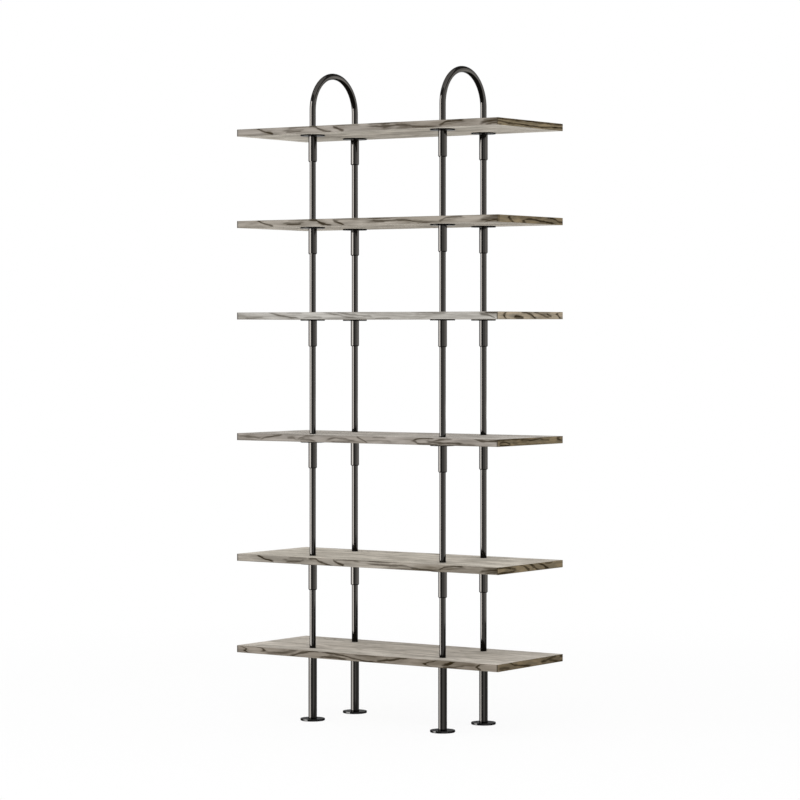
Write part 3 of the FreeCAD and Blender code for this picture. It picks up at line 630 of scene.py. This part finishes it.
class Board:
    """What the parts of one board's veneer share: its corners, places, directions and noises."""

    def __init__(self, nodes, level):
        self.nodes = nodes
        self.level = level
        self.low, self.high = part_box(f"shelf_level_{level}")
        place = nodes.place()
        self.facing = nodes.split(nodes.normal())
        self.is_end, self.is_long_edge, self.is_flat = map(self.mask, self.facing)
        step = tuple(level * part for part in SEED_STEP)
        self.seeded = nodes.vector_math("ADD", place, step)
        self.x, self.y, self.z = nodes.split(place)

    def mask(self, component):
        """1 on the faces that look along a component of the normal, and 0 on the others."""
        turned = self.nodes.math("ABSOLUTE", component)
        return self.nodes.math("GREATER_THAN", turned, FACE_LIMIT)

    def noise(self, scales, detail, distortion, roughness=0.5):
        """A noise on all faces, different on each board."""
        place = self.nodes.vector_math("MULTIPLY", self.seeded, scales)
        return self.nodes.noise(place, 1.0, detail, roughness, distortion)

    def grain(self, scales, detail, distortion):
        """Noise drawn out along the length, and on an end across it."""
        on_long, on_end = (self.noise(each, detail, distortion, GRAIN_ROUGHNESS) for each in scales)
        return self.nodes.blended(self.is_end, on_long, on_end)


def edge_figure(board, long_trees, end_trees):
    """Darkness of the veins' cores and of their smoke on the four edges, and 0 on the flat faces."""
    nodes, low, high = board.nodes, board.low, board.high
    drift_up = board.noise(*DRIFT_UP)
    drift_along = board.noise(*DRIFT_ALONG)
    up = nodes.remap(board.z, low.z, high.z)
    up = nodes.math("ADD", up, nodes.remap(drift_up, *DRIFT_UP_RANGE))
    wander = nodes.remap(drift_along, *DRIFT_ALONG_RANGE)
    spread = nodes.remap(board.noise(*SWELL), *SPREAD_RANGE)

    def figure(trees, coordinate, start, end, facing_value):
        """Veins of two opposite faces: the one that looks to the negative side comes first."""
        along = nodes.remap(coordinate, start, end)
        away = nodes.math("SUBTRACT", 1.0, along)
        groups = []
        for tree, share in zip(trees, (along, away)):
            share = nodes.math("ADD", share, wander)
            inputs = {"Along": share, "Up": up, "Spread": spread}
            groups.append(nodes.add("ShaderNodeGroup", inputs, node_tree=tree).outputs)
        is_positive = nodes.math("GREATER_THAN", facing_value, 0.0)
        return [nodes.blended(is_positive, *pair) for pair in zip(*groups)]

    def placed(on_long, on_end):
        """Each part on its own edges."""
        on_long = nodes.math("MULTIPLY", on_long, board.is_long_edge)
        return nodes.blended(board.is_end, on_long, on_end)

    long_core, long_smoke = figure(long_trees, board.x, low.x, high.x, board.facing["Y"])
    end_core, end_smoke = figure(end_trees, board.y, high.y, low.y, board.facing["X"])
    return placed(long_core, end_core), placed(long_smoke, end_smoke)


def flat_wisps(board):
    """Wisps on the two flat faces: bent lines, whole in some places and gone in others."""
    nodes = board.nodes
    bend = board.noise(*BEND)
    bent = nodes.math("ADD", nodes.math("MULTIPLY", board.y, WISP_WAVES),
                      nodes.math("MULTIPLY", bend, WISP_BEND))
    # The ridge rises from 0 to 1 and falls back, over and over
    ridge = nodes.math("PINGPONG", bent, 1.0)
    wisp = nodes.remap(ridge, *WISP_RANGE, smooth=True)
    patch = nodes.remap(board.noise(*WISP_PATCH), *WISP_PATCH_RANGE)
    return nodes.math("MULTIPLY", nodes.math("MULTIPLY", wisp, patch), board.is_flat)


def flat_rings(board):
    """Thin contour lines on the two flat faces, as of the growth rings, in clusters."""
    nodes = board.nodes
    hills = board.noise(*HILLS)
    # 0 on each contour line, and 0.5 halfway to the next
    rings = nodes.math("PINGPONG", nodes.math("MULTIPLY", hills, RING_COUNT), 0.5)
    ring = nodes.remap(rings, *RING_RANGE, smooth=True)
    clusters = board.noise(*CLUSTER)
    ring = nodes.math("MULTIPLY", ring, nodes.remap(clusters, *CLUSTER_RANGE))
    return nodes.math("MULTIPLY", ring, board.is_flat)


def joint_lines(board):
    """Dark lines where the veneers meet.

    The end veneer's edge shows down each corner of the long edges, and the glue of the flat veneers
    along the top and the bottom of all four edges.
    """
    nodes, low, high = board.nodes, board.low, board.high
    start, end = (high.x - inset for inset in CORNER_INSETS)
    corner = nodes.remap(nodes.math("ABSOLUTE", board.x), start, end, smooth=True)
    corner = nodes.math("MULTIPLY", corner, board.is_long_edge)
    from_middle = nodes.math("ABSOLUTE", nodes.math("SUBTRACT", board.z, (low.z + high.z) / 2))
    start, end = (SHELF_THICKNESS / 2 - inset for inset in GLUE_INSETS)
    glue = nodes.remap(from_middle, start, end, 0.0, GLUE_DARKNESS, smooth=True)
    glue = nodes.math("MULTIPLY", glue, nodes.math("SUBTRACT", 1.0, board.is_flat))
    return nodes.math("MAXIMUM", nodes.math("MULTIPLY", corner, CORNER_DARKNESS), glue)


def wood_body(board, streak, cloud, fibre):
    """Colour of the wood under its figure: grey and light side by side, with the board's tones.

    The tones also hold painted light on the flat faces and painted shade on the edges and ends.
    """
    nodes = board.nodes
    body_share = nodes.math("ADD", nodes.math("MULTIPLY", streak, STREAK_SHARE),
                            nodes.math("MULTIPLY", cloud, CLOUD_SHARE))
    body_share = nodes.math("ADD", body_share, nodes.math("MULTIPLY", fibre, FIBRE_SHARE))
    grey = nodes.remap(body_share, *GREY_RANGE)
    long_body = nodes.mix(grey, rgba(VENEER_LIGHT), rgba(VENEER_GREY))
    end_body = nodes.mix(grey, rgba(END_TAN), rgba(END_GREY))
    is_top = nodes.math("GREATER_THAN", board.facing["Z"], 0.0)

    def toned_and_lit(body, tone_table):
        return nodes.vector_math("MULTIPLY", body, tone_table[board.level])

    # Painted light and shade: the tables lighten the tops and undersides and darken the edges and
    # ends
    flat_body = nodes.mix(is_top, toned_and_lit(long_body, UNDER_TONE_AND_LIGHT), toned_and_lit(long_body, TOP_TONE_AND_LIGHT))
    body = nodes.mix(board.is_long_edge, flat_body, toned_and_lit(long_body, EDGE_TONE_AND_SHADE))
    return nodes.mix(board.is_end, body, toned_and_lit(end_body, END_TONE_AND_SHADE))


def veneer(level, long_trees, end_trees):
    """Grey-washed veneer with smoky veins: bold on the four edges and faint on the flat faces."""
    material, nodes, shader = new_material(f"veneer_level_{level}")
    board = Board(nodes, level)
    fibre = board.grain(*FIBRE)
    streak = board.grain(*STREAK)
    cloud = board.grain(*CLOUD)
    pore = nodes.remap(board.grain(*PORE), *PORE_RANGE)
    core, smoke = edge_figure(board, long_trees, end_trees)
    wisp = flat_wisps(board)
    ring = flat_rings(board)

    # The smoke is patchy, and fibres break both it and the veins
    smoke = nodes.math("MULTIPLY", smoke, nodes.remap(cloud, *PUFF_RANGE))
    smoke = nodes.math("MAXIMUM", smoke, nodes.math("MULTIPLY", wisp, WISP_SHARE))
    smoke = nodes.math("MAXIMUM", smoke, nodes.math("MULTIPLY", ring, RING_SHARE))
    broken = nodes.math("MULTIPLY", nodes.remap(streak, *STREAK_BREAK_RANGE),
                        nodes.remap(fibre, *FIBRE_BREAK_RANGE))
    smoke = nodes.math("MULTIPLY", smoke, broken, clamp=True)
    depth = nodes.remap(cloud, *CORE_DEPTH_RANGE)
    dark = nodes.math("MULTIPLY", core, nodes.remap(broken, *CORE_BREAK_RANGE))
    dark = nodes.math("MULTIPLY", dark, depth, clamp=True)
    dark = nodes.math("MAXIMUM", dark, nodes.math("MULTIPLY", pore, PORE_SHARE))
    dark = nodes.math("MAXIMUM", dark, joint_lines(board))

    body = wood_body(board, streak, cloud, fibre)
    smoked = nodes.mix(smoke, body, rgba(VENEER_SMOKE))
    colour = nodes.mix(dark, smoked, rgba(VENEER_VEIN))
    nodes.connect(colour, shader.inputs["Base Color"])
    roughness = nodes.remap(fibre, *VENEER_ROUGHNESS_RANGE)
    nodes.connect(roughness, shader.inputs["Roughness"])
    shader.inputs["Specular IOR Level"].default_value = VENEER_SPECULAR
    relief = nodes.math("SUBTRACT", fibre, nodes.math("MULTIPLY", pore, PORE_DEPTH_SHARE))
    nodes.connect(nodes.bump(relief, *VENEER_RELIEF), shader.inputs["Normal"])
    return material


# The metal


def flange_mask(nodes, place):
    """1 on the flanges, and 0 on the sleeves, legs, tubes and hoops.

    A flange lies further from the post's axis than the sleeve, and lower than the top board's
    middle, over which only the hoops leave the axis.
    """
    apart = nodes.vector_math("ABSOLUTE", place)
    apart = nodes.vector_math("SUBTRACT", apart, POST_AXIS)
    flat = nodes.vector_math("MULTIPLY", apart, (1.0, 1.0, 0.0))
    far = nodes.length(flat)
    height = nodes.split(place)["Z"]
    return nodes.math("MULTIPLY", nodes.remap(far, *FLANGE_START),
                      nodes.math("LESS_THAN", height, FLANGE_LIMIT))


def black_metal(name, shine, edge_shine, roughness, metallic, has_flanges=False):
    """Gunmetal black with a slight orange peel.

    Where it has flanges, their gloss is cut as painted shade, and what looks straight up or down is
    satin.
    """
    material, nodes, shader = new_material(name)
    place = nodes.place()
    cloud = nodes.noise(place, *METAL_CLOUD)
    colour = nodes.mix(cloud, rgba(shine, METAL_DARK_SHARE), rgba(shine))
    low, high = (roughness * share for share in METAL_ROUGHNESS_SHARES)
    spread = nodes.remap(cloud, *METAL_CLOUD_RANGE, low, high)
    if has_flanges:
        # Painted shade: the flanges keep only a share of the gloss colour, so their rims and
        # undersides render darker
        colour = nodes.mix(flange_mask(nodes, place), colour, rgba(shine, FLANGE_SHADE_SHARE))
        up = nodes.split(nodes.normal())["Z"]
        is_flat = nodes.remap(nodes.math("ABSOLUTE", up), *FLAT_RANGE)
        satin = nodes.remap(cloud, *METAL_CLOUD_RANGE, *SATIN_ROUGHNESSES)
        spread = nodes.blended(is_flat, spread, satin)
    nodes.connect(colour, shader.inputs["Base Color"])
    nodes.connect(spread, shader.inputs["Roughness"])
    shader.inputs["Metallic"].default_value = metallic
    shader.inputs["IOR"].default_value = METAL_IOR
    shader.inputs["Specular Tint"].default_value = rgba((edge_shine,) * 3)
    peel = nodes.noise(place, *PEEL)
    nodes.connect(nodes.bump(peel, *PEEL_RELIEF), shader.inputs["Normal"])
    return material


def oxide_steel():
    """Black oxide on the screws: satin metal with small worn spots."""
    material, nodes, shader = new_material("black_oxide")
    wear = nodes.noise(nodes.place(), *WEAR)
    colour = nodes.mix(wear, rgba(OXIDE_BLACK), rgba(OXIDE_BLACK, WORN_SHARE))
    nodes.connect(colour, shader.inputs["Base Color"])
    nodes.connect(nodes.remap(wear, *OXIDE_ROUGHNESS_RANGE), shader.inputs["Roughness"])
    shader.inputs["Metallic"].default_value = 1.0
    return material


def give(node, material):
    """Gives one material to a CAD node."""
    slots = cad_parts[node].data.materials
    slots.clear()
    slots.append(material)


def dress():
    """Gives every CAD node its material."""
    fronts = {}
    for name, tracks in FRONT_VEIN_SHARES.items():
        fronts[name] = figure_group(name, tracks, FRONT_SMOKE_SHARES[name], SHELF_WIDTH)
    ends = {}
    for level, tracks in END_VEIN_SHARES.items():
        ends[level] = figure_group(f"end_{level}", tracks, END_SMOKE_SHARES[level], SHELF_DEPTH)
    for level, (front, back) in EDGE_FIGURES.items():
        left_end = ends[SHELF_COUNT + 1 - level]
        material = veneer(level, (fronts[front], fronts[back]), (left_end, ends[level]))
        give(f"shelf_level_{level}", material)
    post_metal = black_metal("post_metal", *POST_METAL, has_flanges=True)
    foot_metal = black_metal("foot_metal", *FOOT_METAL)
    steel = oxide_steel()
    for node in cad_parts:
        if node.startswith("foot_"):
            give(node, foot_metal)
        elif node in FASTENERS:
            give(node, steel)
        elif not node.startswith("shelf_"):
            give(node, post_metal)


# The studio


def make_camera():
    data = bpy.data.cameras.new("camera")
    data.sensor_width = SENSOR_WIDTH
    data.lens = FOCAL_LENGTH
    data.shift_x = (IMAGE_SIZE / 2 - MIDDLE_PIXEL) / IMAGE_SIZE
    data.shift_y = (HORIZON_PIXEL - IMAGE_SIZE / 2) / IMAGE_SIZE
    camera = bpy.data.objects.new("camera", data)
    camera.location = CAMERA_PLACE
    camera.rotation_euler = (math.pi / 2, 0.0, CAMERA_TURN)
    bpy.context.scene.collection.objects.link(camera)
    bpy.context.scene.camera = camera


def ray_kinds(nodes):
    """1 for rays from the camera, and 1 for rays that a gloss or glass sends on; else 0."""
    path = nodes.add("ShaderNodeLightPath").outputs
    sent_on = nodes.math("MAXIMUM", path["Is Glossy Ray"], path["Is Transmission Ray"])
    return path["Is Camera Ray"], sent_on


def make_world():
    """Plain light from all round. The background is white wherever it is seen."""
    world = bpy.data.worlds.new("world")
    bpy.context.scene.world = world
    world.use_nodes = True
    tree = world.node_tree
    tree.nodes.clear()
    nodes = Nodes(tree)
    white = rgba(PURE_WHITE)
    light = nodes.add("ShaderNodeBackground", {"Color": white, "Strength": WORLD_STRENGTH})
    backdrop = nodes.add("ShaderNodeBackground", {"Color": white, "Strength": BACKDROP_STRENGTH})
    seen = nodes.math("MAXIMUM", *ray_kinds(nodes))
    inputs = {0: seen, 1: light.outputs[0], 2: backdrop.outputs[0]}
    mixed = nodes.add("ShaderNodeMixShader", inputs)
    nodes.add("ShaderNodeOutputWorld", {"Surface": mixed.outputs[0]})


def make_floor():
    """A pale floor that shows the white behind it to the camera and keeps the object's shadow.

    A foot that a pose slides down past it stays in sight.
    """
    half = FLOOR_LENGTH / 2
    mesh = bpy.data.meshes.new("floor")
    corners = [(-half, -half, 0), (half, -half, 0), (half, half, 0), (-half, half, 0)]
    mesh.from_pydata(corners, [], [(0, 1, 2, 3)])
    floor = bpy.data.objects.new("floor", mesh)
    floor.location.z = -FLOOR_DROP
    bpy.context.scene.collection.objects.link(floor)
    material = bpy.data.materials.new("floor")
    material.use_nodes = True
    tree = material.node_tree
    tree.nodes.clear()
    nodes = Nodes(tree)
    lit = nodes.add("ShaderNodeBsdfDiffuse", {"Color": rgba(FLOOR_WHITE)})
    clear = nodes.add("ShaderNodeBsdfTransparent")
    from_camera, sent_on = ray_kinds(nodes)
    distance = nodes.length(nodes.place())
    clear_share = nodes.remap(distance, *FLOOR_CLEAR_RANGE, smooth=True)
    share = nodes.math("MULTIPLY", from_camera, clear_share)
    share = nodes.math("MAXIMUM", share, sent_on)
    mixed = nodes.add("ShaderNodeMixShader", {0: share, 1: lit.outputs[0], 2: clear.outputs[0]})
    nodes.add("ShaderNodeOutputMaterial", {"Surface": mixed.outputs[0]})
    mesh.materials.append(material)


def make_lamp(name, place, target, size, power):
    """A soft rectangular lamp that looks at a target, and that the camera doesn't see."""
    data = bpy.data.lights.new(name, "AREA")
    data.shape = "RECTANGLE"
    data.size, data.size_y = size
    data.energy = power
    lamp = bpy.data.objects.new(name, data)
    lamp.location = place
    away = Vector(place) - Vector(target)
    lamp.rotation_euler = away.to_track_quat("Z", "Y").to_euler()
    lamp.visible_camera = False
    bpy.context.scene.collection.objects.link(lamp)
    return lamp


def upright(start, end, heights, radiance):
    """Place, target, size and power of a lamp that stands over a line on the floor."""
    start, end = Vector((*start, 0)), Vector((*end, 0))
    low, high = heights
    width, height = (end - start).length, high - low
    middle = (start + end) / 2 + Vector((0, 0, (low + high) / 2))
    across = (end - start).cross(Vector((0, 0, 1))).normalized()
    if across.dot(middle) > 0:
        across.negate()
    return middle, middle + across, (width, height), radiance * math.pi * width * height


def make_card(name, settings, receivers):
    """A lamp that is only seen in the gloss of its receivers."""
    card = make_lamp(name, *settings)
    card.visible_diffuse = False
    card.light_linking.receiver_collection = receivers


def make_lamps():
    for name, settings in ROOM_LAMPS.items():
        make_lamp(name, *settings).visible_glossy = False
    metal = bpy.data.collections.new("card_receivers")
    for node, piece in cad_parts.items():
        if not node.startswith("shelf_"):
            metal.objects.link(piece)
    for name, settings in GLOSS_CARDS.items():
        make_card(name, upright(*settings), metal)
    for name, settings in LEVEL_CARDS.items():
        make_card(name, settings, metal)


make_camera()
make_world()
make_floor()
make_lamps()
dress()

scene = bpy.context.scene
scene.view_settings.view_transform = "Standard"
